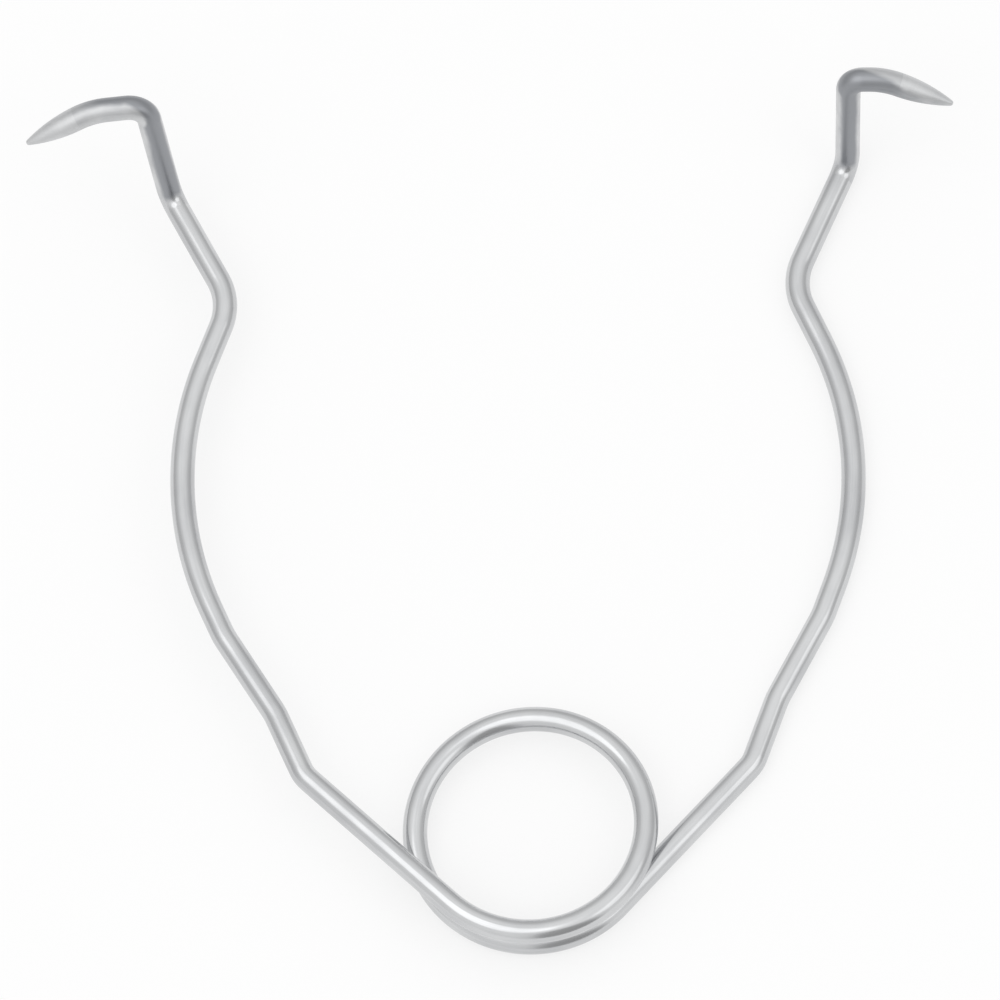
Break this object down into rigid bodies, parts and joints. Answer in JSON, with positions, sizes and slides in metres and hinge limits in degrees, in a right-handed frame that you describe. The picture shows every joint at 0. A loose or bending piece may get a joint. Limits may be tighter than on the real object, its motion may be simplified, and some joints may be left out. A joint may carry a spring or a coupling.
{
  "type": "self-retaining wire retractor",
  "caption": "Spring-wire wound retractor: a coil with curved arms spreading from it, each ending in an upturned pointed hook that faces outwards.",
  "frame": {"origin": "on the coil's axis, level with the underside of the lowest wire", "axes": "+X towards the right arm, +Y from the coil to the hooks, +Z along the coil's axis, the way the hooks stand up"},
  "size_m": [0.0758, 0.0716, 0.0153],
  "materials": {
    "spring_wire": "polished stainless spring wire",
    "hook_wire": "polished stainless wire, ground to a point"
  },
  "bodies": {
    "coil": {"coil_spring": "spring_wire"},
    "left_side": {"left_arm": "spring_wire", "left_hook": "hook_wire"},
    "right_side": {"right_arm": "spring_wire", "right_hook": "hook_wire"}
  },
  "joints": [
    {"name": "left_squeeze", "type": "hinge", "parent": "coil", "child": "left_side", "pos_m": [0, 0, 0], "axis": [0, 0, 1], "range_deg": [-24, 0], "stiffness_Nm_per_rad": 2.4, "deforming": ["coil_spring"]},
    {"name": "right_squeeze", "type": "hinge", "parent": "coil", "child": "right_side", "pos_m": [0, 0, 0], "axis": [0, 0, 1], "range_deg": [0, 24], "stiffness_Nm_per_rad": 2.4, "deforming": ["coil_spring"]}
  ],
  "couplings": [
    {"joint": "right_squeeze", "follows": "left_squeeze", "ratio": -1}
  ]
}
